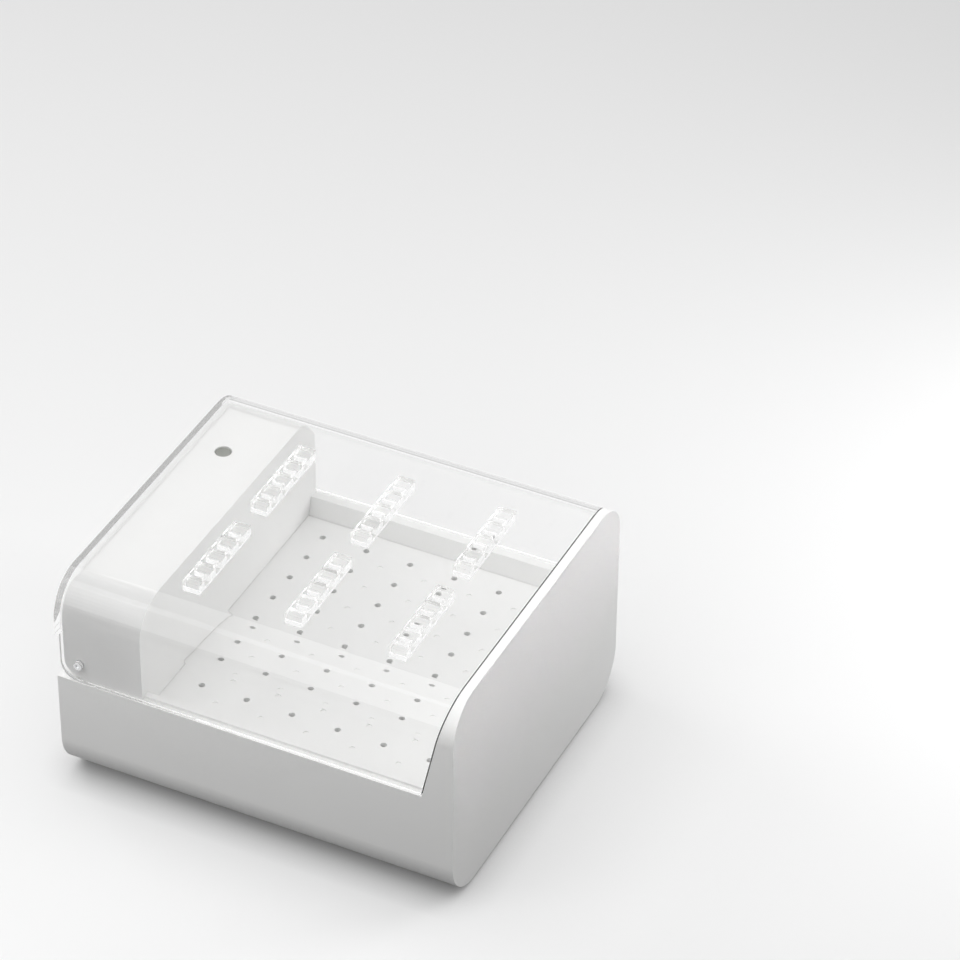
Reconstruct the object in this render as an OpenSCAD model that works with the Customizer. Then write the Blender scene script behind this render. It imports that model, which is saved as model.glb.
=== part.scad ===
// Hearing aid dryer: a white base with one tall side wall, a control pod at the left,
// and a clear lid that swings up and to the left on two pins in the pod.
// Millimetres. X runs from the hinge side to the tall wall, Y from front to back, Z up from the table.

/* [Body] */
// Width, from the hinge side to the outside of the tall wall
body_w = 140; // [130:1:160]
// Depth, front to back
body_d = 122; // [112:1:140]
// Height without the feet
body_h = 78; // [74:1:90]
// Height of the base block, up to the foot of the lid
base_h = 41.5; // [40:0.5:46]
// Radius of the upper corners of the side profile
top_r = 14; // [11:0.5:18]
// Radius of the lower corners of the side profile
bottom_r = 15.5; // [12:0.5:18]
// Wall of the base moulding
wall_t = 2.6; // [2:0.1:3]
// Thickness of the base's top deck
deck_t = 2.5; // [2:0.1:3.5]
// Width of the tall wall's rim at its top
rim_w = 3; // [2.5:0.1:4]
// Lean of the tall wall's inner face from upright, in degrees
rim_lean = 12; // [10:0.5:14]
// Skin of the tall wall's leaning inner face
rim_skin = 2.2; // [1.8:0.1:2.6]

/* [Lid] */
// Thickness of the clear lid
lid_t = 2; // [1.6:0.1:2.6]
// Gap between the lid's right edge and the tall wall
lid_gap = 0.4; // [0.3:0.05:0.8]
// Gap between the lid's foot and the base
lid_foot_gap = 0.3; // [0.2:0.05:0.6]
// Thickness of the lid's left flange
flange_t = 1.5; // [1.2:0.1:2]
// How far the left flange reaches down from the top
flange_drop = 19.3; // [15:0.5:22]

/* [Hinge] */
// Distance of the hinge axis from the left face
pin_inset = 7.7; // [7.2:0.1:9]
// Height of the hinge axis above the base's deck
pin_rise = 6.5; // [6.3:0.1:7]
// Radius of the hinge pins
pin_r = 1.35; // [1:0.05:1.8]
// Running clearance of the lid on a pin
pin_play = 0.08; // [0.03:0.01:0.1]

/* [Combs] */
// Length of a comb strip
comb_l = 34; // [26:0.5:38]
// Width of a comb strip
comb_w = 6; // [4.5:0.25:7]
// Drop of a comb below the lid
comb_drop = 4; // [3:0.25:4.5]
// Teeth on a comb
comb_teeth = 5; // [3:1:6]
// Length of one tooth
tooth_l = 4.2; // [3:0.1:4.6]
// Rail along the right side of a comb
comb_rail = 1.2; // [0.8:0.1:1.8]
// Left edge of the first comb column, from the left face
comb_x = 34.6; // [34:0.2:37]
// Distance between the comb columns
comb_pitch = 36.2; // [32:0.2:37]
// Free space between the two rows of combs
comb_row_gap = 10.6; // [8:0.2:16]

/* [Pod] */
// Width of the pod's side of the body, from the left face to the chamber
pod_w = 30; // [29:0.5:32]
// Wall of the pod's shell
pod_wall = 2; // [1.6:0.1:2.4]
// Gap between the pod and the lid over it
pod_gap = 0.6; // [0.5:0.05:1]
// Gap between the pod and the lid's flange
pod_side_gap = 0.5; // [0.4:0.05:0.8]
// Radius along the pod's upper left edge
pod_edge_r = 2.2; // [2.1:0.1:3]
// Radius along the pod's lower left edge
pod_foot_r = 5.7; // [5:0.1:6]
// Width of the pod's foot on the land, beside its lower left edge
pod_foot_w = 3; // [2:0.25:4]

/* [Chamber] */
// Depth of the tray's top below the deck
floor_drop = 6; // [5:0.25:8]
// Thickness of the perforated tray
tray_t = 2; // [1.5:0.1:3]
// Inset of the basin at the tray, from the front and back faces
basin_foot = 7.8; // [7.4:0.1:9]
// Inset of the basin at the deck
basin_head = 6.2; // [5.8:0.1:7]
// Width of the ledge that carries the tray
ledge_w = 2.3; // [1.5:0.1:2.6]
// Height of the land under the pod and of the lips beside the basin
lip_h = 0.8; // [0.5:0.1:1.2]
// Distance of the lip's outer side from the front and back faces
lip_inset = 3.9; // [3.5:0.1:4.6]
// Radius of an air hole
hole_r = 1.05; // [0.6:0.05:1.2]
// Radius of a dimple between the air holes
dimple_r = 0.95; // [0.4:0.05:1]
// Depth of a dimple
dimple_deep = 0.3; // [0.2:0.05:1]
// Spacing of the air holes across the tray
hole_pitch_x = 16.25; // [14:0.25:18]
// Spacing of the air holes from front to back
hole_pitch_y = 11.75; // [10:0.25:12]
// First air hole from the left face
hole_x = 39.7; // [36:0.1:42]
// First air hole from the front face
hole_y = 11.65; // [11:0.05:14]

/* [Button] */
// Centre of the button from the left face
button_x = 13.6; // [12:0.2:18]
// Centre of the button from the back face
button_y = 35.2; // [32:0.4:42]
// Radius of the button's cap
button_r = 2.6; // [2:0.1:3.6]
// How far the button travels
button_travel = 0.6; // [0.3:0.05:0.8]
// Gap between the cap and its hole
button_gap = 0.25; // [0.2:0.05:0.4]
// How far the cap lies below the pod's top
button_sink = 0.3; // [0.2:0.05:0.6]

/* [Underside] */
// Width of the bottom cover
cover_w = 122; // [116:1:122]
// Depth of the bottom cover
cover_d = 80; // [76:1:82]
// Thickness of the bottom cover
cover_t = 2; // [1.6:0.1:2.4]
// Height that a foot stands proud
foot_h = 1; // [0.6:0.1:2]
// Radius of a foot
foot_r = 5.5; // [4:0.25:6]
// Air slots in the bottom cover
slot_count = 7; // [3:1:9]
// Length of an air slot
slot_l = 34; // [24:1:44]
// Width of an air slot
slot_w = 2.2; // [1.5:0.1:3]

/* [Heater] */
// Thickness of the aluminium heater plate
plate_t = 1.5; // [1:0.1:2.5]
// Air space between the tray and the heater plate
plate_space = 8.5; // [7:0.25:9]
// Thickness of the silicone heating film
film_t = 1.5; // [1:0.1:2.5]
// Height of the spacers over the plate
spacer_h = 2; // [1.5:0.1:3]

/* [Electronics] */
// Thickness of the circuit boards
board_t = 1.6; // [1:0.1:2]
// Width of the control board
board_w = 21; // [19:0.5:22]
// Length of the control board
board_l = 50; // [46:1:56]
// How far the control board reaches behind the button
board_reach = 11; // [9:0.5:13]
// Height of the switch body
switch_h = 3.5; // [3:0.1:4.3]
// Height of the inlet socket above the table
inlet_z = 24; // [22:0.5:27]
// Centre of the inlet socket from the left face
inlet_x = 17; // [16:0.5:18]
// Radius of a lead wire
wire_r = 0.7; // [0.4:0.05:0.75]

/* [Hidden] */
$fn = 64;

// Main planes
x_left = -body_w / 2;
x_right = body_w / 2;
y_front = -body_d / 2;
y_back = body_d / 2;
z_bottom = foot_h;
z_top = z_bottom + body_h;
z_base = z_bottom + base_h;
z_floor = z_base - floor_drop;
z_tray = z_floor - tray_t;

// Overlap of a cutting or joined solid past a face
over = 1;
// Solid end of a blind hole
blind = 1;
// Gap round a piece that drops into a seat
fit_gap = 0.2;

// Tall wall
function wall_x(z) = x_right - rim_w - (z_top - z) * tan(rim_lean);
wall_foot = wall_x(z_base);
// Narrowest part of the hollow inside the tall wall
hollow_min = 1;
hollow_top = z_top - (wall_t + rim_skin + hollow_min - rim_w) / tan(rim_lean);

// Hinge axis
pin_x = x_left + pin_inset;
pin_z = z_base + pin_rise;
ear_r = min(pin_inset - flange_t, pin_rise - lid_foot_gap);
pin_hold = 0.05;
pin_collar_r = 2.3;
pin_collar_t = 1;
pin_dish = 0.4;
pin_dish_r = 0.6 * pin_r;

// Lid
lid_top = z_top - lid_t;
lid_foot = z_base + lid_foot_gap;
flange_z = z_top - flange_drop;

// Combs hang from the underside of the lid
comb_z = lid_top - comb_drop;
comb_strip = 1;
comb_xs = [for (i = [0:2]) x_left + comb_x + i * comb_pitch];
comb_ys = [-comb_row_gap / 2 - comb_l, comb_row_gap / 2];

// Pod
pod_inset = lid_t + pod_gap;
pod_x0 = x_left + flange_t + pod_side_gap;
pod_x1 = x_left + pod_w;
pod_top = z_top - pod_inset;
pod_under = pod_top - pod_wall;
pod_foot = z_base + lip_h;
pod_round_x = pod_x0 + pod_foot_r;
pod_round_z = pod_foot + pod_foot_r;
pod_corner_min = 0.3;
skirt_gap = 0.2;

// Hinge bosses inside the pod
hinge_boss_r = 3.4;
hinge_boss_l = 4;
hinge_boss_y = y_front + pod_inset + pod_wall + hinge_boss_l;

// Basin and tray
function basin_inset(z) = basin_foot - (z - z_floor) * (basin_foot - basin_head) / floor_drop;
basin_x0 = pod_x1 - pod_wall - fit_gap;
basin_x1 = wall_foot;
basin_y = body_d / 2 - basin_foot;
basin_wall = 2;
ledge_t = 2;
z_ledge = z_tray - ledge_t;
hole_edge = 3;
hole_nx = 1 + floor((basin_x1 - x_left - hole_x - hole_edge) / hole_pitch_x);
hole_ny = 1 + floor((body_d - basin_foot - hole_y - hole_edge) / hole_pitch_y);

// Button and switch
btn_x = x_left + button_x;
btn_y = y_back - button_y;
cap_top = pod_top - button_sink;
cap_flange_w = 1.4;
cap_flange_r = button_r + cap_flange_w;
cap_flange_t = 1;
cap_play = 0.3;
cap_foot = 0.3;
flange_top = pod_under - cap_play;
cap_under = flange_top - cap_flange_t - cap_foot;
plunger_r = 1.7;
plunger_gap = 0.3;
plunger_left = 1.1;
plunger_show = button_travel + plunger_left;
switch_top = cap_under - plunger_show;
plunger_sink = 0.5;
switch_w = 6;
switch_z = switch_top - switch_h;

// Control board, hung on four bosses under the pod's top
board_z = switch_z - board_t;
board_cx = (pod_x0 + pod_x1) / 2;
board_cy = btn_y + board_reach - board_l / 2;
board_boss_r = 2.4;
board_boss_in = 3;
board_bosses = [for (sx = [-1, 1]) for (sy = [-1, 1])
    [board_cx + sx * (board_w / 2 - board_boss_in), board_cy + sy * (board_l / 2 - board_boss_in)]];

// Small screws: shank, pilot hole and head
small_r = 0.85;
small_pilot = 0.9;
small_hole = 1.05;
small_head_r = 1.7;
small_head_h = 1.3;
small_l = 5;

// Larger screws for the cover, the pod and the heater plate
screw_r = 1.05;
screw_pilot = 1.1;
screw_hole = 1.4;
screw_head_r = 2.5;
screw_head_h = 1.1;
head_play = 0.3;
screw_bite = 5;
// Cross slot in a screw's head: its width, and its length as a part of the head's
drive_w = 0.6;
drive_part = 0.6;

// Pod screws come up through the deck into two posts
pod_post_r = 3.5;
pod_post_x = (pod_round_x + pod_foot_w + pod_x1 - pod_wall) / 2;
pod_post_in = 2;
pod_post_y = y_back - top_r - pod_post_in;
pod_screw_l = 12;

// Bottom cover, its seat and its screw posts
cover_gap = 0.25;
cover_ledge = 3;
cover_r = 4;
seat_t = 2.2;
seat_rim = 2.6;
cover_z = z_bottom + cover_t;
post_r = 3.5;
post_h = 9;
post_in = 4;
cover_posts = [for (sx = [-1, 1]) for (sy = [-1, 1])
    [sx * (cover_w / 2 - post_in), sy * (cover_d / 2 - post_in)]];
cover_screw_l = 8;
foot_sink = 0.8;
foot_in_x = 14;
foot_in_y = 10.5;
feet_at = [for (sx = [-1, 1]) for (sy = [-1, 1])
    [sx * (cover_w / 2 - foot_in_x), sy * (cover_d / 2 - foot_in_y)]];
slot_pitch = 7;

// Heater plate, hung on four bosses under the tray's ledge
plate_top = z_tray - plate_space;
plate_z = plate_top - plate_t;
plate_boss_r = 3.5;
plate_boss_in_x = 3.8;
plate_boss_in_y = 4.8;
plate_edge = 0.3;
plate_x0 = basin_x0 + plate_edge;
plate_x1 = basin_x1 - plate_edge;
plate_y = basin_y - plate_edge;
plate_bosses = [for (x = [basin_x0 + plate_boss_in_x, basin_x1 - plate_boss_in_x]) for (sy = [-1, 1])
    [x, sy * (basin_y - plate_boss_in_y)]];
boss_foot = plate_top + spacer_h;
spacer_r = plate_boss_r - 0.3;
plate_screw_l = plate_t + spacer_h + screw_bite;
film_z = plate_z - film_t;
film_in_x = 13;
film_in_y = 14;
film_x0 = plate_x0 + film_in_x;
film_x1 = plate_x1 - film_in_x;
film_y = plate_y - film_in_y;
cutout_size = [7.5, 20, 4];
sensor_r = 2.5;
sensor_h = 2.5;

// Inlet socket and its board
port_x = x_left + inlet_x;
socket_w = 8.94;
socket_h = 3.26;
socket_l = 7.35;
socket_wall = 0.3;
socket_recess = 1;
tongue = [6.7, 5.6, 0.7];
tongue_sink = 0.7;
tongue_hold = 0.1;
port_gap = 0.3;
inlet_top = inlet_z - socket_h / 2;
inlet_board_w = 18;
inlet_board_l = 20;
inlet_board_gap = 0.6;
inlet_y1 = y_back - wall_t - inlet_board_gap;
inlet_y0 = inlet_y1 - inlet_board_l;
inlet_post_in_x = 2.6;
inlet_post_in_y = 8;
inlet_posts = [for (sx = [-1, 1])
    [port_x + sx * (inlet_board_w / 2 - inlet_post_in_x), inlet_y0 + inlet_post_in_y]];
inlet_post_r = 2.3;

// Window in the deck for the leads
window_x = board_cx;
window_shift = 4;
window_y = board_cy + window_shift;
window_w = 10;
window_l = 30;

// Places on the control board: chip, capacitor and status light
chip = [7, 7, 1.2];
chip_at = [3, 8];
can_r = 3.15;
can_h = 7;
can_at = [3, -12];
led = [3, 2, 1.1];
led_gap = 1.2;

// Leads
wire_step = 4;
wire_pitch = 4;
wire_sides = 8;
heater_exit_y = cutout_size[1] / 2 + 2 * wire_pitch;
heater_exit_z = film_z + film_t / 2;
lead_x = window_x - wire_pitch / 2;
inlet_exit_in = 3;
inlet_exit_y = inlet_y0 + inlet_exit_in;

// Route of a heater lead: straight out of the film, a dip past the plate's edge, and up through the window
heater_straight = 4;
heater_far = 11;
heater_dip = 1.5;
heater_turn = 12;
heater_rise = 6;
window_low = 4;
window_high = 8;
board_low = 8;
function heater_route(y, up_y) = [
    [film_x0, y, heater_exit_z], [film_x0 - heater_straight, y, heater_exit_z],
    [film_x0 - heater_far, y, heater_exit_z - heater_dip], [lead_x + heater_turn, y, heater_exit_z],
    [lead_x + 1, y - 2, heater_exit_z + heater_rise], [lead_x, up_y, z_base - window_low],
    [lead_x, up_y, z_base + window_high], [lead_x, up_y, board_z - board_low], [lead_x, up_y, board_z]
];

// Route of an inlet lead: up off the inlet board, a bow to the front, and up through the window
inlet_straight = 4;
inlet_bow_y = 5;
inlet_bow_z = 9;
inlet_low = 7;
inlet_high = 10;
function inlet_route(x, up_y) = [
    [port_x + x, inlet_exit_y, inlet_top], [port_x + x, inlet_exit_y, inlet_top + inlet_straight],
    [port_x + x - 1, inlet_exit_y - inlet_bow_y, inlet_top + inlet_bow_z],
    [lead_x, up_y + 4, z_base - inlet_low], [lead_x, up_y, z_base], [lead_x, up_y, z_base + inlet_high],
    [lead_x, up_y, board_z - inlet_low], [lead_x, up_y, board_z]
];

// Colours as the photograph shows them
white = "#f1f1f0";
grey_button = "#9fa199";
clear = [0.92, 0.95, 0.97, 0.35];
rubber = "#3c3d3f";
steel = "#b9bcc0";
green = "#2f6b4a";
black = "#26272a";
alloy = "#c9ccd0";
silicone = "#b5502e";
ceramic = "#ece7dc";

// Side view of the body, Y across and Z up, drawn in on every side by inset
module side_outline(inset) {
    half = body_d / 2 - inset;
    low = z_bottom + inset;
    high = z_top - inset;
    r_low = bottom_r - inset;
    r_high = top_r - inset;
    middle = (low + high) / 2;
    translate([-half, low + r_low])
        square([2 * half, high - low - r_low - r_high]);
    translate([-half + r_low, low])
        square([2 * (half - r_low), middle - low]);
    translate([-half + r_high, middle])
        square([2 * (half - r_high), high - middle]);
    for (side = [-1, 1]) {
        translate([side * (half - r_low), low + r_low])
            circle(r_low);
        translate([side * (half - r_high), high - r_high])
            circle(r_high);
    }
}

// The side outline as a solid from x0 to x1
module side_block(inset, x0, x1) {
    translate([x0, 0, 0])
        rotate([90, 0, 90])
            linear_extrude(x1 - x0)
                side_outline(inset);
}

// A shape drawn with X across and Z up, as a solid from y0 to y1
module front_block(y0, y1) {
    translate([0, y1, 0])
        rotate([90, 0, 0])
            linear_extrude(y1 - y0)
                children();
}

// A box from one corner to the other
module box(low, high) {
    translate(low)
        cube(high - low);
}

// A round bar along Y
module bar_y(x, z, y0, y1, r) {
    translate([x, y1, z])
        rotate([90, 0, 0])
            cylinder(h = y1 - y0, r = r);
}

// A flat plate with round corners, centred on the origin
module round_plate(w, d, r, t) {
    linear_extrude(t) {
        square([w - 2 * r, d], center = true);
        square([w, d - 2 * r], center = true);
        for (sx = [-1, 1])
            for (sy = [-1, 1])
                translate([sx * (w / 2 - r), sy * (d / 2 - r)])
                    circle(r, $fn = 32);
    }
}

// A flat slot with round ends along X, as a solid from y0 to y1
module port_shape(w, h, y0, y1) {
    for (side = [-1, 1])
        bar_y(port_x + side * (w - h) / 2, inlet_z, y0, y1, h / 2);
    box([port_x - (w - h) / 2, y0, inlet_z - h / 2], [port_x + (w - h) / 2, y1, inlet_z + h / 2]);
}

// A pan-head screw with its head down, head under side at z
module screw_up(x, y, z, length, r, head_r, head_h) {
    translate([x, y, z]) {
        cylinder(h = length, r = r, $fn = 32);
        translate([0, 0, -head_h])
            difference() {
                cylinder(h = head_h, r = head_r, $fn = 32);
                for (turn = [0, 90])
                    rotate([0, 0, turn])
                        translate([-head_r * drive_part, -drive_w / 2, -over])
                            cube([2 * head_r * drive_part, drive_w, over + head_h / 2]);
            }
    }
}

// The same screw turned over, head on top
module screw_down(x, y, z, length, r, head_r, head_h) {
    translate([x, y, z])
        mirror([0, 0, 1])
            screw_up(0, 0, 0, length, r, head_r, head_h);
}

// Space between the sloping sides of the basin, drawn with Y across and Z up
module basin_section(gap, low, high) {
    a = body_d / 2 - basin_inset(low) - gap;
    b = body_d / 2 - basin_inset(high) - gap;
    polygon([[-a, low], [a, low], [b, high], [-b, high]]);
}

// Base: one white moulding with the basin, the deck and the tall wall
module base_housing() {
    color(white)
        difference() {
            union() {
                base_shell();
                intersection() {
                    union() {
                        basin_surround();
                        plate_boss_set(boss_foot);
                        cover_seat();
                        inlet_post_set();
                    }
                    side_block(wall_t / 2, x_left + wall_t / 2, x_right - wall_t / 2);
                }
                seat_lips();
                pod_land();
            }
            box([basin_x0, -basin_y, z_tray], [basin_x1, basin_y, z_floor]);
            translate([basin_x0, 0, 0])
                rotate([90, 0, 90])
                    linear_extrude(basin_x1 - basin_x0)
                        basin_section(0, z_floor, z_base + lip_h + over);
            tray_window();
            base_cuts();
        }
}

module base_shell() {
    difference() {
        side_block(0, x_left, x_right);
        front_block(y_front - over, y_back + over)
            polygon([
                [x_left - over, z_base], [wall_foot, z_base],
                [wall_x(z_top + over), z_top + over], [x_left - over, z_top + over]
            ]);
        intersection() {
            side_block(wall_t, x_left + wall_t, x_right - wall_t);
            front_block(y_front, y_back)
                polygon([
                    [x_left, z_bottom], [x_right, z_bottom], [x_right, hollow_top],
                    [wall_x(hollow_top) + rim_skin, hollow_top], [wall_foot + rim_skin, z_base],
                    [wall_foot + rim_skin, z_base - deck_t], [x_left, z_base - deck_t]
                ]);
        }
    }
}

module basin_surround() {
    box([basin_x0 - basin_wall, -basin_y - basin_wall, z_ledge],
        [basin_x1 + basin_wall, basin_y + basin_wall, z_base - deck_t + over]);
}

module plate_boss_set(foot) {
    for (p = plate_bosses)
        translate([p[0], p[1], foot])
            cylinder(h = z_tray - foot, r = plate_boss_r);
}

// Window in the ledge under the tray, cut round the heater bosses
module tray_window() {
    difference() {
        box([basin_x0 + ledge_w, -basin_y + ledge_w, z_ledge - over],
            [basin_x1 - ledge_w, basin_y - ledge_w, z_tray + over]);
        plate_boss_set(z_ledge - 2 * over);
    }
}

module cover_seat() {
    translate([0, 0, z_bottom])
        round_plate(cover_w + 2 * seat_rim, cover_d + 2 * seat_rim, cover_r + seat_rim, cover_t + seat_t);
}

module inlet_post_set() {
    for (p = inlet_posts)
        translate([p[0], p[1], z_bottom])
            cylinder(h = inlet_top - board_t - z_bottom, r = inlet_post_r);
}

// Land on the deck that carries the pod
module pod_land() {
    box([pod_round_x, y_front + pod_inset, z_base - over], [pod_x1, y_back - pod_inset, pod_foot]);
}

// Low lips on the deck beside the basin, front and back
module seat_lips() {
    for (side = [0, 1])
        mirror([0, side, 0])
            box([pod_x1, y_front + lip_inset, z_base - over],
                [wall_foot + over, y_front + basin_head + over, z_base + lip_h]);
}

// Bores, the port, the cover's opening and the window for the leads
module base_cuts() {
    translate([0, 0, z_bottom - over])
        round_plate(cover_w + 2 * cover_gap, cover_d + 2 * cover_gap, cover_r + cover_gap, cover_t + over);
    difference() {
        translate([0, 0, cover_z - over])
            round_plate(cover_w - 2 * cover_ledge, cover_d - 2 * cover_ledge, cover_r, seat_t + 2 * over);
        for (p = cover_posts)
            translate([p[0], p[1], cover_z])
                cylinder(h = post_h, r = post_r);
    }
    for (p = cover_posts)
        translate([p[0], p[1], cover_z - over])
            cylinder(h = post_h + over - blind, r = screw_pilot);
    for (p = plate_bosses)
        translate([p[0], p[1], boss_foot - over])
            cylinder(h = z_tray - boss_foot + over - blind, r = screw_pilot);
    for (p = inlet_posts)
        translate([p[0], p[1], inlet_top - board_t - small_l - blind])
            cylinder(h = small_l + blind + over, r = small_pilot, $fn = 32);
    for (side = [-1, 1])
        translate([pod_post_x, side * pod_post_y, z_base - deck_t - over])
            cylinder(h = deck_t + lip_h + 2 * over, r = screw_hole);
    port_shape(socket_w + 2 * port_gap, socket_h + 2 * port_gap, y_back - wall_t - over, y_back + over);
    translate([window_x, window_y, z_base - deck_t - over])
        linear_extrude(deck_t + lip_h + 2 * over)
            square([window_w, window_l], center = true);
}

// Bottom cover: seated flush in the underside, with air slots under the heater
module bottom_cover() {
    color(white)
        difference() {
            translate([0, 0, z_bottom])
                round_plate(cover_w, cover_d, cover_r, cover_t);
            for (p = cover_posts)
                translate([p[0], p[1], z_bottom - over]) {
                    cylinder(h = cover_t + 2 * over, r = screw_hole);
                    cylinder(h = over + screw_head_h, r = screw_head_r + head_play);
                }
            for (p = feet_at)
                translate([p[0], p[1], z_bottom - over])
                    cylinder(h = over + foot_sink, r = foot_r + fit_gap / 2);
            for (i = [0:slot_count - 1])
                translate([(i - (slot_count - 1) / 2) * slot_pitch, 0, z_bottom - over])
                    linear_extrude(cover_t + 2 * over) {
                        square([slot_w, slot_l - slot_w], center = true);
                        for (side = [-1, 1])
                            translate([0, side * (slot_l - slot_w) / 2])
                                circle(slot_w / 2, $fn = 24);
                    }
        }
}

// Four rubber feet, stuck into round pockets in the cover
module rubber_feet() {
    color(rubber)
        for (p = feet_at)
            translate([p[0], p[1], 0])
                rotate_extrude()
                    polygon([
                        [0, 0], [foot_r - foot_h / 2, 0], [foot_r, foot_h / 2],
                        [foot_r, z_bottom + foot_sink], [0, z_bottom + foot_sink]
                    ]);
}

// Four screws that hold the bottom cover
module bottom_screws() {
    color(steel)
        for (p = cover_posts)
            screw_up(p[0], p[1], z_bottom + screw_head_h, cover_screw_l, screw_r, screw_head_r, screw_head_h);
}

// Perforated floor of the chamber: air holes in a grid, with a dimple in each square between them
module perforated_tray() {
    color(white)
        difference() {
            box([basin_x0 + fit_gap, -basin_y + fit_gap, z_tray],
                [basin_x1 - fit_gap, basin_y - fit_gap, z_floor]);
            for (i = [0:hole_nx - 1])
                for (j = [0:hole_ny - 1])
                    translate([
                        x_left + hole_x + i * hole_pitch_x,
                        y_front + hole_y + j * hole_pitch_y,
                        z_tray - over
                    ])
                        cylinder(h = tray_t + 2 * over, r = hole_r, $fn = 24);
            for (i = [0:hole_nx - 2])
                for (j = [0:hole_ny - 2])
                    translate([
                        x_left + hole_x + (i + 0.5) * hole_pitch_x,
                        y_front + hole_y + (j + 0.5) * hole_pitch_y,
                        z_floor - dimple_deep
                    ])
                        cylinder(h = dimple_deep + over, r = dimple_r, $fn = 20);
        }
}

// Front view of the pod, drawn in by inset, with its left corners round
module pod_outline(inset) {
    r_up = max(pod_edge_r - inset, pod_corner_min);
    r_low = pod_foot_r - inset;
    x0 = pod_x0 + inset;
    x1 = pod_x1 - inset;
    high = pod_top - inset;
    translate([x0, pod_round_z])
        square([x1 - x0, high - r_up - pod_round_z]);
    translate([x0 + r_up, pod_round_z])
        square([x1 - x0 - r_up, high - pod_round_z]);
    translate([x0 + r_up, high - r_up])
        circle(r_up, $fn = 32);
    translate([pod_round_x, pod_round_z - r_low])
        square([x1 - pod_round_x, r_low + over]);
    translate([pod_round_x, pod_round_z])
        circle(r_low);
}

// Control pod: a white shell with the button's hole, screw posts and the hinge bosses
module pod_cover() {
    color(white)
        difference() {
            union() {
                difference() {
                    pod_solid(0);
                    pod_solid(pod_wall);
                    box([pod_round_x + pod_foot_w, y_front + pod_inset + pod_wall, pod_foot - over],
                        [pod_x1 - pod_wall, y_back - pod_inset - pod_wall, pod_foot + pod_wall + over]);
                }
                pod_skirt();
                for (side = [-1, 1])
                    translate([pod_post_x, side * pod_post_y, pod_foot])
                        cylinder(h = pod_under + pod_wall / 2 - pod_foot, r = pod_post_r);
                for (p = board_bosses)
                    translate([p[0], p[1], board_z + board_t])
                        cylinder(h = pod_under + pod_wall / 2 - board_z - board_t, r = board_boss_r);
                for (side = [0, 1])
                    mirror([0, side, 0])
                        bar_y(pin_x, pin_z, y_front + pod_inset + pod_wall / 2, hinge_boss_y, hinge_boss_r);
            }
            for (side = [0, 1])
                mirror([0, side, 0])
                    bar_y(pin_x, pin_z, y_front, hinge_boss_y + over, pin_r + pin_hold);
            for (side = [-1, 1])
                translate([pod_post_x, side * pod_post_y, pod_foot - over])
                    cylinder(h = pod_screw_l, r = screw_pilot);
            for (p = board_bosses)
                translate([p[0], p[1], board_z + board_t - over])
                    cylinder(h = small_l + over, r = small_pilot, $fn = 32);
            translate([btn_x, btn_y, pod_under - over])
                cylinder(h = pod_wall + 2 * over, r = button_r + button_gap);
        }
}

module pod_solid(inset) {
    intersection() {
        side_block(pod_inset + inset, pod_x0, pod_x1);
        front_block(y_front, y_back)
            pod_outline(inset);
    }
}

// The pod's chamber wall reaches down past the deck to the tray
module pod_skirt() {
    translate([pod_x1 - pod_wall, 0, 0])
        rotate([90, 0, 90])
            linear_extrude(pod_wall)
                basin_section(fit_gap, z_floor + skirt_gap, pod_foot + over / 2);
}

// Two screws up through the deck into the pod's posts
module pod_screws() {
    color(steel)
        for (side = [-1, 1])
            screw_up(
                pod_post_x, side * pod_post_y, z_base - deck_t,
                pod_screw_l, screw_r, screw_head_r, screw_head_h
            );
}

// One hinge pin, held in the pod's boss by its collar, its dished outer end flush with the lid
module hinge_pin() {
    difference() {
        union() {
            bar_y(pin_x, pin_z, y_front, hinge_boss_y + pin_collar_t, pin_r);
            bar_y(pin_x, pin_z, hinge_boss_y, hinge_boss_y + pin_collar_t, pin_collar_r);
        }
        bar_y(pin_x, pin_z, y_front - over, y_front + pin_dish, pin_dish_r);
    }
}

module hinge_pin_front() {
    color(steel)
        hinge_pin();
}

module hinge_pin_rear() {
    color(steel)
        mirror([0, 1, 0])
            hinge_pin();
}

// Power button: a dished cap with a flange under the pod's top
module power_button() {
    dish_r = 3 * button_r;
    dish_deep = 0.35;
    color(grey_button)
        translate([btn_x, btn_y, 0])
            difference() {
                union() {
                    translate([0, 0, cap_under])
                        cylinder(h = cap_top - cap_under, r = button_r);
                    translate([0, 0, flange_top - cap_flange_t])
                        cylinder(h = cap_flange_t, r = cap_flange_r);
                }
                translate([0, 0, cap_top + dish_r - dish_deep])
                    sphere(dish_r);
            }
}

// Plunger of the switch, moved by the button
module switch_plunger() {
    color(black)
        translate([btn_x, btn_y, switch_top - plunger_sink])
            cylinder(h = cap_under - switch_top + plunger_sink, r = plunger_r, $fn = 32);
}

// Body of the switch on the control board
module switch_body() {
    well = plunger_sink + button_travel + plunger_gap;
    color(steel)
        difference() {
            box([btn_x - switch_w / 2, btn_y - switch_w / 2, switch_z],
                [btn_x + switch_w / 2, btn_y + switch_w / 2, switch_top]);
            translate([btn_x, btn_y, switch_top - well])
                cylinder(h = well + over, r = plunger_r + plunger_gap, $fn = 32);
        }
}

// Control board under the pod's top
module control_board() {
    color(green)
        difference() {
            box([board_cx - board_w / 2, board_cy - board_l / 2, board_z],
                [board_cx + board_w / 2, board_cy + board_l / 2, board_z + board_t]);
            for (p = board_bosses)
                translate([p[0], p[1], board_z - over])
                    cylinder(h = board_t + 2 * over, r = small_hole, $fn = 32);
        }
}

// Control chip under the board
module control_chip() {
    color(black)
        translate([board_cx + chip_at[0], board_cy + chip_at[1], board_z - chip[2]])
            linear_extrude(chip[2])
                square([chip[0], chip[1]], center = true);
}

// Smoothing capacitor under the board
module capacitor() {
    color(alloy)
        translate([board_cx + can_at[0], board_cy + can_at[1], board_z - can_h])
            cylinder(h = can_h, r = can_r);
}

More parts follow.
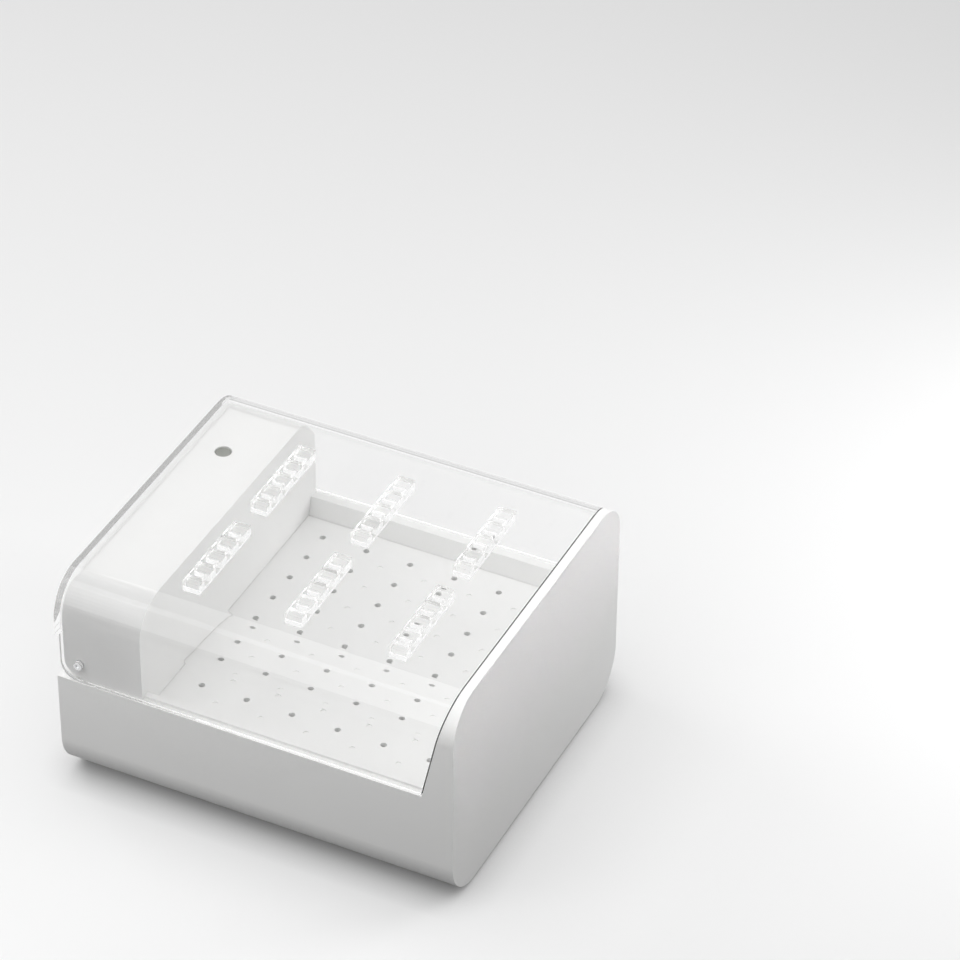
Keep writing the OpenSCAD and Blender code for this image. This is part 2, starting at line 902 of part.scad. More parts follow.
// Status light beside the switch, which shines through the button
module status_led() {
    color("ivory")
        translate([btn_x, btn_y - switch_w / 2 - led_gap - led[1] / 2, board_z + board_t])
            linear_extrude(led[2])
                square([led[0], led[1]], center = true);
}

// Four screws under the control board and two on the inlet board
module board_screws() {
    color(steel) {
        for (p = board_bosses)
            screw_up(p[0], p[1], board_z, small_l, small_r, small_head_r, small_head_h);
        for (p = inlet_posts)
            screw_down(p[0], p[1], inlet_top, small_l, small_r, small_head_r, small_head_h);
    }
}

// Small board that carries the inlet socket
module inlet_board() {
    color(green)
        difference() {
            box([port_x - inlet_board_w / 2, inlet_y0, inlet_top - board_t],
                [port_x + inlet_board_w / 2, inlet_y1, inlet_top]);
            for (p = inlet_posts)
                translate([p[0], p[1], inlet_top - board_t - over])
                    cylinder(h = board_t + 2 * over, r = small_hole, $fn = 32);
        }
}

// Low-voltage inlet socket: a folded steel shell round a plastic tongue
module usb_socket() {
    mouth = y_back - socket_recess;
    tongue_back = mouth - tongue_sink - tongue[1];
    color(steel)
        difference() {
            port_shape(socket_w, socket_h, mouth - socket_l, mouth);
            port_shape(
                socket_w - 2 * socket_wall, socket_h - 2 * socket_wall,
                tongue_back + tongue_hold, mouth + over
            );
        }
    color(black)
        box([port_x - tongue[0] / 2, tongue_back, inlet_z - tongue[2] / 2],
            [port_x + tongue[0] / 2, mouth - tongue_sink, inlet_z + tongue[2] / 2]);
}

// Aluminium plate that spreads the heat under the tray
module heater_plate() {
    color(alloy)
        difference() {
            box([plate_x0, -plate_y, plate_z], [plate_x1, plate_y, plate_top]);
            for (p = plate_bosses)
                translate([p[0], p[1], plate_z - over])
                    cylinder(h = plate_t + 2 * over, r = screw_hole);
        }
}

// Silicone heating film bonded under the plate
module heater_film() {
    color(silicone)
        box([film_x0, -film_y, film_z], [film_x1, film_y, plate_z]);
}

// Ceramic spacers between the plate and the bosses
module plate_spacers() {
    color(ceramic)
        for (p = plate_bosses)
            translate([p[0], p[1], plate_top])
                difference() {
                    cylinder(h = spacer_h, r = spacer_r);
                    translate([0, 0, -over])
                        cylinder(h = spacer_h + 2 * over, r = screw_hole);
                }
}

// Four screws that hold the plate
module plate_screws() {
    color(steel)
        for (p = plate_bosses)
            screw_up(p[0], p[1], plate_z, plate_screw_l, screw_r, screw_head_r, screw_head_h);
}

// Thermal cut-out clamped to the plate beside the film
module thermal_cutout() {
    color(black)
        translate([
            (plate_x0 + film_x0 - cutout_size[0]) / 2,
            -cutout_size[1] / 2,
            plate_z - cutout_size[2]
        ])
            cube(cutout_size);
}

// Temperature sensor on the other side of the film
module temperature_sensor() {
    color(ceramic)
        translate([(plate_x1 + film_x1) / 2, 0, plate_z - sensor_h])
            cylinder(h = sensor_h, r = sensor_r);
}

// A point on a smooth curve through four points, between the middle two
function curve(a, b, c, d, t) =
    0.5 * (2 * b + (c - a) * t + (2 * a - 5 * b + 4 * c - d) * t * t + (3 * b - a - 3 * c + d) * t * t * t);
function route_point(p, i) =
    i < 0 ? 2 * p[0] - p[1] : i > len(p) - 1 ? 2 * p[len(p) - 1] - p[len(p) - 2] : p[i];
function smooth(p) = concat(
    [for (i = [0:len(p) - 2]) for (k = [0:wire_step - 1])
        curve(route_point(p, i - 1), p[i], p[i + 1], route_point(p, i + 2), k / wire_step)],
    [p[len(p) - 1]]
);
function unit(v) = v / norm(v);
function heading(p, i, first, last) =
    i == 0 ? unit(first) : i == len(p) - 1 ? unit(last) : unit(p[i + 1] - p[i - 1]);

// A lead wire along a route
module wire(route) {
    p = smooth(route);
    n = len(p);
    sides = wire_sides;
    first = route[1] - route[0];
    last = route[len(route) - 1] - route[len(route) - 2];
    rings = [for (i = [0:n - 1])
        let (
            ahead = heading(p, i, first, last),
            across = unit(cross(ahead, [0.25, 1, 0.1])),
            up = cross(across, ahead)
        )
        for (k = [0:sides - 1])
            p[i] + wire_r * (cos(360 * k / sides) * across + sin(360 * k / sides) * up)];
    skin = [for (i = [0:n - 2]) for (k = [0:sides - 1])
        let (a = i * sides + k, b = i * sides + (k + 1) % sides)
        each [[a, a + sides, b + sides], [a, b + sides, b]]];
    front = [for (k = [1:sides - 2]) [0, k, k + 1]];
    end = (n - 1) * sides;
    back = [for (k = [1:sides - 2]) [end, end + k + 1, end + k]];
    polyhedron(points = rings, faces = concat(skin, front, back));
}

// Two leads from the heating film up to the control board
module heater_leads() {
    color(silicone) {
        wire(heater_route(heater_exit_y, window_y - wire_pitch / 4));
        wire(heater_route(heater_exit_y + wire_pitch, window_y + 3 * wire_pitch / 4));
    }
}

// Two leads from the inlet board up to the control board
module inlet_leads() {
    color(black) {
        wire(inlet_route(-wire_pitch / 2, window_y + 2.5 * wire_pitch));
        wire(inlet_route(wire_pitch / 2, window_y + 1.5 * wire_pitch));
    }
}

// Clear lid: one moulding with round front and back, a left flange and two hinge ears
module lid() {
    color(clear)
        difference() {
            union() {
                intersection() {
                    difference() {
                        side_block(0, x_left, x_right);
                        side_block(lid_t, x_left - over, x_right + over);
                    }
                    front_block(y_front - over, y_back + over)
                        lid_outline();
                }
                intersection() {
                    side_block(0, x_left, x_left + flange_t);
                    box([x_left, y_front, flange_z], [x_left + flange_t, y_back, z_top]);
                }
            }
            for (side = [0, 1])
                mirror([0, side, 0])
                    bar_y(pin_x, pin_z, y_front - over, y_front + lid_t + over, pin_r + pin_play);
        }
}

// Front view of the lid: its right edge leans with the tall wall, its lower left corner goes round the pin
module lid_outline() {
    ear_x = pin_x - ear_r;
    cut = lid_gap / cos(rim_lean);
    polygon([
        [pin_x, lid_foot], [wall_x(lid_foot) - cut, lid_foot],
        [wall_x(z_top + over) - cut, z_top + over], [x_left, z_top + over], [x_left, flange_z],
        [ear_x, flange_z], [ear_x, pin_z], [pin_x, pin_z]
    ]);
    translate([pin_x, pin_z])
        circle(ear_r);
}

// A comb strip on the underside of the lid: a rail with teeth that hold the aids apart
module comb(x, y) {
    pitch = (comb_l - tooth_l) / (comb_teeth - 1);
    color(clear)
        translate([x, y, comb_z]) {
            translate([0, 0, comb_drop - comb_strip])
                cube([comb_w, comb_l, comb_strip]);
            translate([comb_w - comb_rail, 0, 0])
                cube([comb_rail, comb_l, comb_drop]);
            for (i = [0:comb_teeth - 1])
                translate([0, i * pitch, 0])
                    cube([comb_w, tooth_l, comb_drop]);
        }
}

module comb_left_front() {
    comb(comb_xs[0], comb_ys[0]);
}

module comb_left_rear() {
    comb(comb_xs[0], comb_ys[1]);
}

module comb_middle_front() {
    comb(comb_xs[1], comb_ys[0]);
}

module comb_middle_rear() {
    comb(comb_xs[1], comb_ys[1]);
}

module comb_right_front() {
    comb(comb_xs[2], comb_ys[0]);
}

module comb_right_rear() {
    comb(comb_xs[2], comb_ys[1]);
}

base_housing();
bottom_cover();
rubber_feet();
bottom_screws();
perforated_tray();
pod_cover();
pod_screws();
hinge_pin_front();
hinge_pin_rear();
power_button();
switch_plunger();
switch_body();
control_board();
control_chip();
capacitor();
status_led();
board_screws();
inlet_board();
usb_socket();
heater_plate();
heater_film();
plate_spacers();
plate_screws();
thermal_cutout();
temperature_sensor();
heater_leads();
inlet_leads();
lid();
comb_left_front();
comb_left_rear();
comb_middle_front();
comb_middle_rear();
comb_right_front();
comb_right_rear();
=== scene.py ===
import math

import bpy
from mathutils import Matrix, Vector


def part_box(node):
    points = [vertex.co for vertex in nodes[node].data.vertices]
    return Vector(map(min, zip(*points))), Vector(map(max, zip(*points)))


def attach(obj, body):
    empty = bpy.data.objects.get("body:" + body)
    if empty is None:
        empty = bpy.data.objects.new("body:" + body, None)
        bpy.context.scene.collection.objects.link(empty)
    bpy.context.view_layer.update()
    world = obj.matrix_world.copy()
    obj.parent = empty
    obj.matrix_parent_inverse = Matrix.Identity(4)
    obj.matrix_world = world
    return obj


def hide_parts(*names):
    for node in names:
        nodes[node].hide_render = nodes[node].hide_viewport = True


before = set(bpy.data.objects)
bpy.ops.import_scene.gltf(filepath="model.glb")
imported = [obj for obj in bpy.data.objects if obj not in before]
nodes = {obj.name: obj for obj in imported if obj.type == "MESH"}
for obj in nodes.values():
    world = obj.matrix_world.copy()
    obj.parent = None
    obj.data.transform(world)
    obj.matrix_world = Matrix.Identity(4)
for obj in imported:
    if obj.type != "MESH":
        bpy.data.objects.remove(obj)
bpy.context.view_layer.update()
scene = bpy.context.scene
scene.view_settings.view_transform = "Standard"


# Camera: the photograph's viewpoint, from the front right and above, through a long lens,
# so that the box keeps nearly parallel edges.
camera_data = bpy.data.cameras.new("camera")
camera_data.lens = 158.63
camera_data.sensor_width = 36.0
camera = bpy.data.objects.new("camera", camera_data)
scene.collection.objects.link(camera)
camera.location = (0.49285, -0.92838, 0.91191)
camera.rotation_euler = (math.radians(52.4071), math.radians(-0.4704), math.radians(25.924))
scene.camera = camera


# Base: the injection-moulded white body with its tall right wall, the deck and the basin.
# White ABS from a spark-eroded mould, so it is satin and has no reflections with an edge.
def srgb(code):
    """An sRGB hex colour as the linear colour that a shader takes."""
    parts = [int(code[i:i + 2], 16) / 255 for i in (1, 3, 5)]
    return tuple(p / 12.92 if p <= 0.04045 else ((p + 0.055) / 1.055) ** 2.4 for p in parts) + (1.0,)


def add(tree, kind, settings=None, links=None):
    """A new node with its settings and the sockets that feed it."""
    node = tree.nodes.new(kind)
    for key, value in (settings or {}).items():
        if isinstance(key, int) or key in node.inputs:
            node.inputs[key].default_value = value
        else:
            setattr(node, key, value)
    for key, source in (links or {}).items():
        tree.links.new(source, node.inputs[key])
    return node


def new_material(name):
    """An empty node material with its output."""
    material = bpy.data.materials.new(name)
    material.use_nodes = True
    material.node_tree.nodes.clear()
    return material, material.node_tree


def merged(node, name):
    """A copy of a CAD node with its loose triangles joined into flat faces."""
    piece = bpy.data.objects.new(name, nodes[node].data.copy())
    scene.collection.objects.link(piece)
    bpy.ops.object.select_all(action="DESELECT")
    piece.select_set(True)
    bpy.context.view_layer.objects.active = piece
    bpy.ops.object.mode_set(mode="EDIT")
    bpy.ops.mesh.select_all(action="SELECT")
    bpy.ops.mesh.remove_doubles(threshold=1e-6)
    bpy.ops.mesh.dissolve_limited(angle_limit=math.radians(0.3))
    bpy.ops.object.mode_set(mode="OBJECT")
    return piece


def rounded(piece, width):
    """Round a piece's sharp edges a little, as a mould leaves them."""
    bpy.ops.object.select_all(action="DESELECT")
    piece.select_set(True)
    bpy.context.view_layer.objects.active = piece
    bpy.ops.object.shade_smooth_by_angle(angle=math.radians(35))
    bevel = piece.modifiers.new("edge", "BEVEL")
    bevel.width = width
    bevel.segments = 2
    bevel.limit_method = "ANGLE"
    bevel.angle_limit = math.radians(40)
    bpy.ops.object.modifier_apply(modifier="edge")
    even = piece.modifiers.new("even", "WEIGHTED_NORMAL")
    even.weight = 100
    even.keep_sharp = True
    bpy.ops.object.modifier_apply(modifier="even")
    return piece


def finish_piece(piece, body, material, slot, *replaced):
    """Give a finished piece its material and say what it rides on and stands for."""
    piece.data.materials.clear()
    piece.data.materials.append(material)
    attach(piece, body)
    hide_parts(*replaced)


# the pebble that a mould leaves is 0.01 mm deep
pebble_deep = 0.00001


def moulded_abs(name, light, dark, rough_low, rough_high):
    """White ABS: a faint cloudiness in the colour, and the fine pebble of the mould in the bump."""
    material, tree = new_material(name)
    place = add(tree, "ShaderNodeTexCoord").outputs["Object"]
    # colour drifts over about 30 mm, by less than the eye names
    drift = add(tree, "ShaderNodeTexNoise", {"Scale": 33.0, "Detail": 2.0}, {"Vector": place})
    tint = add(tree, "ShaderNodeMix", {
        "data_type": "RGBA", 6: srgb(dark), 7: srgb(light),
    }, {0: drift.outputs["Fac"]})
    # gloss drifts over about 8 mm
    sheen = add(tree, "ShaderNodeTexNoise", {"Scale": 125.0, "Detail": 3.0}, {"Vector": place})
    rough = add(tree, "ShaderNodeMapRange", {
        "To Min": rough_low, "To Max": rough_high,
    }, {"Value": sheen.outputs["Fac"]})
    # the real pebble is 0.1 mm wide, too fine to show, so it is drawn 0.5 mm wide
    pebble = add(tree, "ShaderNodeTexNoise", {"Scale": 2000.0, "Detail": 2.0}, {"Vector": place})
    bump = add(tree, "ShaderNodeBump", {
        "Strength": 0.25, "Distance": pebble_deep,
    }, {"Height": pebble.outputs["Fac"]})
    shader = add(
        tree, "ShaderNodeBsdfPrincipled", {"IOR": 1.5},
        {"Base Color": tint.outputs[2], "Roughness": rough.outputs[0], "Normal": bump.outputs[0]},
    )
    add(tree, "ShaderNodeOutputMaterial", links={"Surface": shader.outputs[0]})
    return material


shell_edge = 0.0004
shell_abs = moulded_abs("satin white ABS", "#f3f3f2", "#f0f0ef", 0.42, 0.52)
base_shell = rounded(merged("base_housing", "base_shell"), shell_edge)
finish_piece(base_shell, "base", shell_abs, "white_shell", "base_housing")


# Pod: the white shell over the control board, moulded in the same ABS, screwed up from below.
# Its face under the lid is bare.
pod_edge = 0.0003
pod_abs = moulded_abs("satin white pod ABS", "#f3f3f2", "#f0f0ef", 0.4, 0.5)
pod_shell = rounded(merged("pod_cover", "pod_shell"), pod_edge)
finish_piece(pod_shell, "base", pod_abs, "white_pod", "pod_cover")


# Tray: a flat perforated plate in the same white ABS, dropped into the basin.
tray_abs = moulded_abs("satin white tray ABS", "#f4f4f3", "#f1f1f0", 0.45, 0.55)
nodes["perforated_tray"].material_slots[0].material = tray_abs


# Bottom cover: the flat plate that closes the underside, in the shell's ABS.
nodes["bottom_cover"].material_slots[0].material = shell_abs


# Lid: one clear acrylic moulding, 2 mm thick, that wraps over the front, the top and the back.
# It is polished in the mould, so it bends what is behind it, and lamps shine through.
# the share of a lamp's light that passes one side of the sheet, and the turns after which light leaves it
lamp_share = 0.92
most_turns = 2.5


def clear_acrylic(name, tint, rough):
    """Clear acrylic that bends what is behind it and lets lamps through."""
    material, tree = new_material(name)
    place = add(tree, "ShaderNodeTexCoord").outputs["Object"]
    # flow marks about 20 mm long, which only show in a reflection
    flow = add(tree, "ShaderNodeTexNoise", {"Scale": 50.0, "Detail": 1.0}, {"Vector": place})
    polish = add(tree, "ShaderNodeMapRange", {
        "To Min": rough * 0.5, "To Max": rough,
    }, {"Value": flow.outputs["Fac"]})
    glass = add(
        tree, "ShaderNodeBsdfPrincipled",
        {"Base Color": srgb(tint), "Transmission Weight": 1.0, "IOR": 1.49},
        {"Roughness": polish.outputs[0]},
    )
    # a lamp's light loses a part at each side of the sheet, so that the white chamber doesn't burn out
    passing = add(tree, "ShaderNodeBsdfTransparent", {"Color": (lamp_share, lamp_share, lamp_share, 1.0)})
    leaving = add(tree, "ShaderNodeBsdfTransparent")
    path = add(tree, "ShaderNodeLightPath")
    # light that has been turned back inside the sheet three times leaves it, as it does at a real edge
    tired = add(tree, "ShaderNodeMath", {
        "operation": "GREATER_THAN", 1: most_turns,
    }, {0: path.outputs["Glossy Depth"]})
    inside = add(tree, "ShaderNodeMixShader", None, {
        0: tired.outputs[0], 1: glass.outputs[0], 2: leaving.outputs[0],
    })
    both = add(tree, "ShaderNodeMixShader", None, {
        0: path.outputs["Is Shadow Ray"], 1: inside.outputs[0], 2: passing.outputs[0],
    })
    add(tree, "ShaderNodeOutputMaterial", links={"Surface": both.outputs[0]})
    return material


def block(name, low, high):
    """A block between two corners."""
    bpy.ops.object.select_all(action="DESELECT")
    bpy.ops.mesh.primitive_cube_add(size=1.0, location=[(a + b) / 2 for a, b in zip(low, high)])
    piece = bpy.context.object
    piece.name = name
    piece.scale = [b - a for a, b in zip(low, high)]
    bpy.ops.object.transform_apply(location=True, rotation=True, scale=True)
    return piece


def rod(name, x, z, front, back, radius):
    """A round bar along Y."""
    bpy.ops.object.select_all(action="DESELECT")
    bpy.ops.mesh.primitive_cylinder_add(
        vertices=96, radius=radius, depth=back - front, location=(x, (front + back) / 2, z),
        rotation=(math.radians(90), 0.0, 0.0),
    )
    piece = bpy.context.object
    piece.name = name
    bpy.ops.object.transform_apply(location=True, rotation=True, scale=True)
    return piece


# two places closer than this are the same
hair = 1e-6


def round_top(piece, radius, segments):
    """Round the two long top edges of a block."""
    high = max(vertex.co.z for vertex in piece.data.vertices)
    bpy.ops.object.mode_set(mode="EDIT")
    bpy.ops.mesh.select_mode(type="EDGE")
    bpy.ops.mesh.select_all(action="DESELECT")
    bpy.ops.object.mode_set(mode="OBJECT")
    for edge in piece.data.edges:
        ends = [piece.data.vertices[i].co for i in edge.vertices]
        edge.select = min(end.z for end in ends) > high - hair and abs(ends[0].y - ends[1].y) < hair
    bpy.ops.object.mode_set(mode="EDIT")
    bpy.ops.mesh.bevel(offset=radius, offset_type="OFFSET", segments=segments, profile=0.5, affect="EDGES")
    bpy.ops.mesh.select_mode(type="VERT")
    bpy.ops.object.mode_set(mode="OBJECT")


def cut_away(piece, point, normal):
    """Cut a piece with a plane and drop the side that the normal points to."""
    bpy.ops.object.select_all(action="DESELECT")
    piece.select_set(True)
    bpy.context.view_layer.objects.active = piece
    bpy.ops.object.mode_set(mode="EDIT")
    bpy.ops.mesh.select_all(action="SELECT")
    bpy.ops.mesh.bisect(plane_co=point, plane_no=normal, use_fill=True, clear_outer=True)
    bpy.ops.object.mode_set(mode="OBJECT")


def combine(piece, tool, operation):
    """Join a tool to a piece or take it away, and drop the tool."""
    bpy.context.view_layer.objects.active = piece
    step = piece.modifiers.new("step", "BOOLEAN")
    step.operation = operation
    step.solver = "EXACT"
    step.object = tool
    bpy.ops.object.modifier_apply(modifier="step")
    bpy.data.objects.remove(tool)


lid_low, lid_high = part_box("lid")
pin_low, pin_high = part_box("hinge_pin_front")
pin_x = (pin_low.x + pin_high.x) / 2
pin_z = (pin_low.z + pin_high.z) / 2
# the wall, the flange over the pod's side and how far it comes down, and the bends at the front
# and the back
sheet = 0.002
flange = 0.0015
flange_drop = 0.0193
bend = 0.014
bend_steps = 48
# the ears' round ends, the bores for the pins, and the lean of the right edge
ear = 0.0062
pin_bore = 0.00143
lean = math.radians(12)
# how far a tool reaches past the piece that it cuts
past = 0.001

clear_lid = block("clear_lid", lid_low, lid_high)
round_top(clear_lid, bend, bend_steps)
# the right edge leans with the tall wall
leaning = Vector((math.cos(lean), 0.0, -math.sin(lean)))
cut_away(clear_lid, (lid_high.x, 0.0, lid_high.z), leaning)
hollow = block(
    "hollow", (lid_low.x + flange, lid_low.y + sheet, lid_low.z - past),
    (lid_high.x + past, lid_high.y - sheet, lid_high.z - sheet),
)
round_top(hollow, bend - sheet, bend_steps)
combine(clear_lid, hollow, "DIFFERENCE")
# below the flange the left edge steps in, and its lower corners go round the pins
notch = block(
    "notch", (lid_low.x - past, lid_low.y - past, lid_low.z - past),
    (pin_x - ear, lid_high.y + past, lid_high.z - flange_drop),
)
combine(clear_lid, notch, "DIFFERENCE")
corner = block(
    "corner", (lid_low.x - past, lid_low.y - past, lid_low.z - past), (pin_x, lid_high.y + past, pin_z),
)
combine(corner, rod("ear", pin_x, pin_z, lid_low.y - 2 * past, lid_high.y + 2 * past, ear), "DIFFERENCE")
combine(clear_lid, corner, "DIFFERENCE")
combine(clear_lid, rod("bore", pin_x, pin_z, lid_low.y - past, lid_high.y + past, pin_bore), "DIFFERENCE")


# Combs: six clear strips with five teeth each, moulded in one with the lid, so that
# light runs straight through from the lid into them.
def even_plastic(name, colour, other, rough, grain):
    """A plain moulded part with a faint mottle and pebble."""
    material, tree = new_material(name)
    place = add(tree, "ShaderNodeTexCoord").outputs["Object"]
    mottle = add(tree, "ShaderNodeTexNoise", {"Scale": grain, "Detail": 3.0}, {"Vector": place})
    tint = add(tree, "ShaderNodeMix", {
        "data_type": "RGBA", 6: srgb(colour), 7: srgb(other),
    }, {0: mottle.outputs["Fac"]})
    bump = add(tree, "ShaderNodeBump", {
        "Strength": 0.2, "Distance": pebble_deep,
    }, {"Height": mottle.outputs["Fac"]})
    shader = add(
        tree, "ShaderNodeBsdfPrincipled", {"IOR": 1.5, "Roughness": rough},
        {"Base Color": tint.outputs[2], "Normal": bump.outputs[0]},
    )
    add(tree, "ShaderNodeOutputMaterial", links={"Surface": shader.outputs[0]})
    return material


# each comb's top is drawn up into the lid's wall, so that no skin is left between them
rooted = 0.0006
lid_edge = 0.0001
comb_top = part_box("comb_left_front")[1].z
strips = [f"comb_{column}_{row}" for column in ("left", "middle", "right") for row in ("front", "rear")]
for strip in strips:
    comb = merged(strip, "strip")
    for vertex in comb.data.vertices:
        if vertex.co.z > comb_top - 10 * hair:
            vertex.co.z += rooted
    combine(clear_lid, comb, "UNION")
rounded(clear_lid, lid_edge)
finish_piece(clear_lid, "lid", clear_acrylic("clear acrylic", "#ffffff", 0.02), "clear_lid", "lid", *strips)
# the end that was cut to meet the tall wall is matt and painted dark grey, as painted shade for the narrow
# gap between the lid and the tall wall. Its faces point the way that the edge leans
same_way = 0.99
# painted shade: a dark grey that stands in for the shadow in the gap at the tall wall
gap_shade_end = even_plastic("acrylic end painted with gap shade", "#3f4143", "#4b4d4f", 0.7, 900.0)
clear_lid.data.materials.append(gap_shade_end)
for face in clear_lid.data.polygons:
    if face.normal.dot(leaning) > same_way:
        face.material_index = 1


# Power button: a small dished cap in grey ABS, just under the pod's top, over the switch.
cap_edge = 0.0002
cap_abs = even_plastic("grey button ABS", "#82847c", "#8a8c84", 0.3, 1500.0)
button_cap = rounded(merged("power_button", "button_cap"), cap_edge)
finish_piece(button_cap, "button", cap_abs, "button_grey", "power_button")


# Small metal parts: zinc-plated screws, turned steel hinge pins, the socket's and the switch's
# pressed shells, and the aluminium plate and can.
# the gloss is this much more or less where a mark runs
drift_of_gloss = 0.06


def worked_metal(name, colour, rough, scale):
    """Bare or plated metal whose gloss follows the marks of its making, drawn along one way."""
    material, tree = new_material(name)
    place = add(tree, "ShaderNodeTexCoord").outputs["Object"]
    along = add(tree, "ShaderNodeMapping", {"Scale": scale}, {"Vector": place})
    marks = add(tree, "ShaderNodeTexNoise", {"Scale": 1.0, "Detail": 2.0}, {"Vector": along.outputs[0]})
    gloss = add(tree, "ShaderNodeMapRange", {
        "To Min": rough - drift_of_gloss, "To Max": rough + drift_of_gloss,
    }, {"Value": marks.outputs["Fac"]})
    shader = add(
        tree, "ShaderNodeBsdfPrincipled", {"Base Color": srgb(colour), "Metallic": 1.0},
        {"Roughness": gloss.outputs[0]},
    )
    add(tree, "ShaderNodeOutputMaterial", links={"Surface": shader.outputs[0]})
    return material


zinc = worked_metal("zinc-plated steel", "#c4c7cb", 0.35, (2500.0, 2500.0, 2500.0))
turned = worked_metal("turned stainless steel", "#d9dadb", 0.3, (400.0, 4000.0, 400.0))
pressed = worked_metal("pressed tinned steel", "#cfd1d4", 0.32, (300.0, 3000.0, 3000.0))
rolled = worked_metal("rolled aluminium", "#d3d5d7", 0.4, (120.0, 3000.0, 3000.0))
for node in ("bottom_screws", "pod_screws", "board_screws", "plate_screws"):
    nodes[node].material_slots[0].material = zinc
for node in ("hinge_pin_front", "hinge_pin_rear"):
    nodes[node].material_slots[0].material = turned
for node in ("usb_socket", "switch_body"):
    nodes[node].material_slots[0].material = pressed
for node in ("heater_plate", "capacitor"):
    nodes[node].material_slots[0].material = rolled


# Rubber feet: four moulded discs, dark and matt, stuck in the cover's round pockets.
foot_rubber = even_plastic("moulded rubber", "#2b2b2d", "#343436", 0.8, 1200.0)
nodes["rubber_feet"].material_slots[0].material = foot_rubber


# Circuit boards: glass epoxy under green solder mask, with copper tracks showing as lighter lines.
def solder_mask(name):
    """Green solder mask over tracks 0.4 mm wide."""
    material, tree = new_material(name)
    place = add(tree, "ShaderNodeTexCoord").outputs["Object"]
    cells = add(tree, "ShaderNodeTexBrick", {
        "Scale": 180.0, "Mortar Size": 0.06, "Color1": srgb("#1f5a3c"), "Color2": srgb("#1b5036"),
        "Mortar": srgb("#2f7a52"),
    }, {"Vector": place})
    shader = add(
        tree, "ShaderNodeBsdfPrincipled", {"Roughness": 0.3, "IOR": 1.5},
        {"Base Color": cells.outputs["Color"]},
    )
    add(tree, "ShaderNodeOutputMaterial", links={"Surface": shader.outputs[0]})
    return material


board_mask = solder_mask("green solder mask")
for node in ("control_board", "inlet_board"):
    nodes[node].material_slots[0].material = board_mask


# Black parts: the chip's epoxy, the cut-out's case and the switch's plunger, all moulded and matt.
black_epoxy = even_plastic("black moulded epoxy", "#141416", "#1c1c1f", 0.55, 2500.0)
for node in ("control_chip", "thermal_cutout", "switch_plunger"):
    nodes[node].material_slots[0].material = black_epoxy


# Status light: a milky epoxy lens beside the switch.
lens_epoxy = even_plastic("milky epoxy", "#efeee2", "#e6e5d8", 0.25, 900.0)
nodes["status_led"].material_slots[0].material = lens_epoxy


# Heating film: red-brown silicone rubber over its track, bonded under the aluminium plate.
film_rubber = even_plastic("red silicone rubber", "#a5452a", "#93391f", 0.6, 700.0)
nodes["heater_film"].material_slots[0].material = film_rubber


# Ceramic: the spacers and the temperature sensor, fired and unglazed.
fired = even_plastic("fired steatite", "#ece7dc", "#e2dccf", 0.65, 1100.0)
for node in ("plate_spacers", "temperature_sensor"):
    nodes[node].material_slots[0].material = fired


# Leads: stranded wire in silicone insulation, red to the heater and black from the inlet.
red_wire = even_plastic("red wire silicone", "#a8321f", "#9a2a19", 0.45, 1500.0)
black_wire = even_plastic("black wire silicone", "#17171a", "#202024", 0.45, 1500.0)
nodes["heater_leads"].material_slots[0].material = red_wire
nodes["inlet_leads"].material_slots[0].material = black_wire


# Floor: a seamless pale studio surface that runs out of the frame. The camera, a reflection and the clear
# lid show it bright. Light that bounces off it is weaker, as on a copy stand with black cloth round it.
def first_look(tree):
    """One until a ray has met a matt surface, then nothing."""
    path = add(tree, "ShaderNodeLightPath")
    bounces = path.outputs["Diffuse Depth"]
    return add(tree, "ShaderNodeMath", {"operation": "LESS_THAN", 1: 0.5}, {0: bounces})


def grey(level):
    """A linear grey."""
    return (level, level, level, 1.0)


floor_width = 8.0
# the paper's grey for light that has bounced, its grey and glow for a first look, and how far
# the painted contact shadow under the body reaches
floor_bounced = 0.1
floor_seen = 0.591
floor_glow = 0.27
contact_shadow_reach = 0.012
bpy.ops.object.select_all(action="DESELECT")
bpy.ops.mesh.primitive_plane_add(size=floor_width, location=(0.0, 0.0, 0.0))
floor = bpy.context.object
floor.name = "floor"
paper, tree = new_material("pale studio paper")
seen = first_look(tree)
shade = add(tree, "ShaderNodeMix", {
    "data_type": "RGBA", 6: grey(floor_bounced), 7: grey(floor_seen),
}, {0: seen.outputs[0]})
matt = add(tree, "ShaderNodeBsdfDiffuse", None, {"Color": shade.outputs[2]})
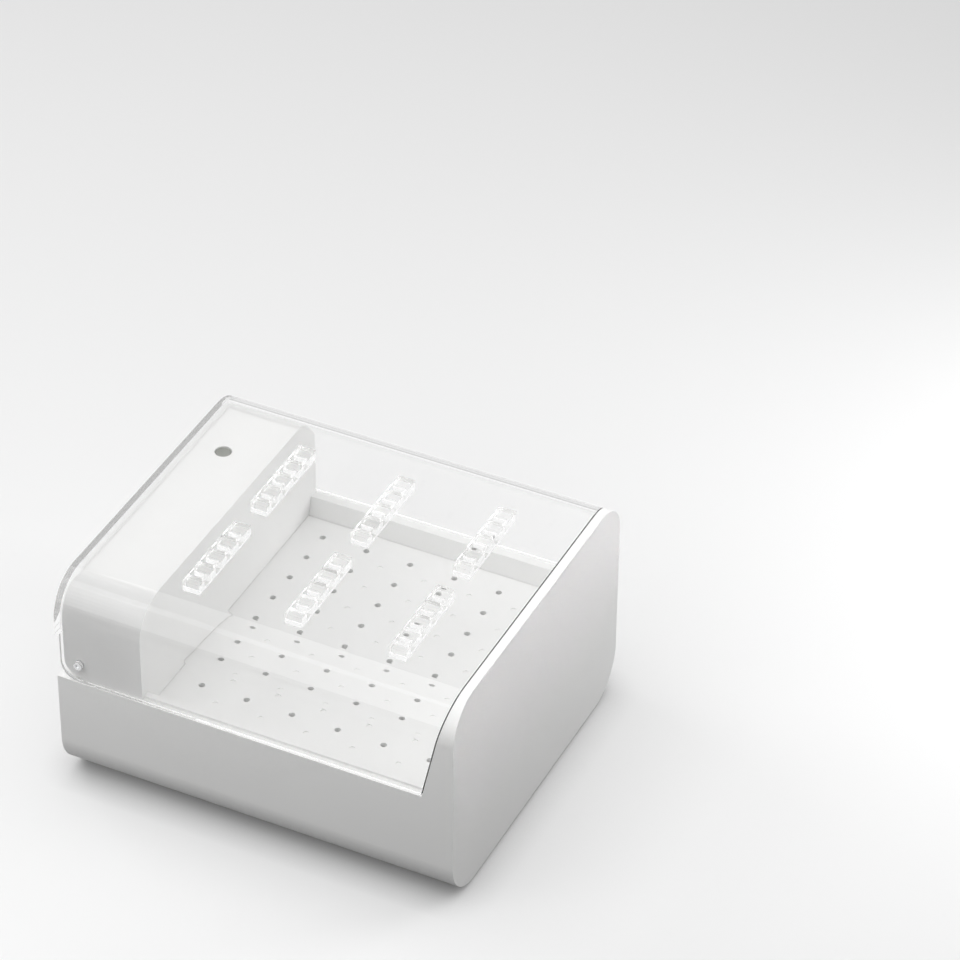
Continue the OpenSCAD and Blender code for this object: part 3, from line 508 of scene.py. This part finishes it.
# painted contact shadow: ambient occlusion dims the floor's glow in the last centimetre under the body's
# edge
painted_contact_shadow = add(tree, "ShaderNodeAmbientOcclusion", {"samples": 4, "Distance": contact_shadow_reach})
lift = add(tree, "ShaderNodeMath", {"operation": "MULTIPLY", 1: floor_glow}, {0: seen.outputs[0]})
lift = add(tree, "ShaderNodeMath", {"operation": "MULTIPLY"}, {0: lift.outputs[0], 1: painted_contact_shadow.outputs["AO"]})
glow = add(tree, "ShaderNodeEmission", None, {"Strength": lift.outputs[0]})
both = add(tree, "ShaderNodeAddShader", None, {0: matt.outputs[0], 1: glow.outputs[0]})
add(tree, "ShaderNodeOutputMaterial", links={"Surface": both.outputs[0]})
floor.data.materials.append(paper)


# Light: an even pale room, soft boxes at the left, the top, the right and the front, and two low strips
# whose beams fade out down the front and the right side.
# the room's level for light that has bounced, and for a first look
room_bounced = 0.3
room_seen = 0.93
world = bpy.data.worlds.new("room")
scene.world = world
world.use_nodes = True
tree = world.node_tree
tree.nodes.clear()
seen = first_look(tree)
level = add(tree, "ShaderNodeMix", {
    "data_type": "RGBA", 6: grey(room_bounced), 7: grey(room_seen),
}, {0: seen.outputs[0]})
room = add(tree, "ShaderNodeBackground", {"Strength": 1.0}, {"Color": level.outputs[2]})
add(tree, "ShaderNodeOutputWorld", links={"Surface": room.outputs[0]})


def soft_box(name, place, aim, width, height, power, spread=180.0):
    """A soft box at one place, turned to another."""
    data = bpy.data.lights.new(name, "AREA")
    data.shape = "RECTANGLE"
    data.size = width
    data.size_y = height
    data.energy = power
    data.spread = math.radians(spread)
    lamp = bpy.data.objects.new(name, data)
    scene.collection.objects.link(lamp)
    lamp.location = place
    lamp.rotation_euler = (Vector(aim) - Vector(place)).to_track_quat("-Z", "Y").to_euler()
    # the clear lid already lets the lamp through, so it isn't seen in it as well
    lamp.visible_transmission = False
    lamp.visible_camera = False


# the middle of the body, which the boxes face, and the strips' beam in degrees
middle = (0.0, 0.0, 0.03)
narrow = 8.0
soft_box("left", (-0.6, 0.1, 0.5), middle, 0.4, 0.4, 1.2)
soft_box("top", (0.0, 0.05, 0.9), (0.0, 0.05, 0.03), 1.0, 1.0, 4.3)
soft_box("right", (0.3, 0.25, 0.16), middle, 0.2, 0.2, 0.6)
soft_box("front", (-0.1, -0.3, 0.3), middle, 0.4, 0.4, 0.74)
soft_box("front strip", (-0.6, -0.85, 0.1), (0.0, 0.0, 0.085), 0.5, 0.04, 0.009, narrow)
soft_box("right strip", (1.0, 0.45, 0.16), (0.07, 0.03, 0.1), 0.4, 0.04, 0.028, narrow)
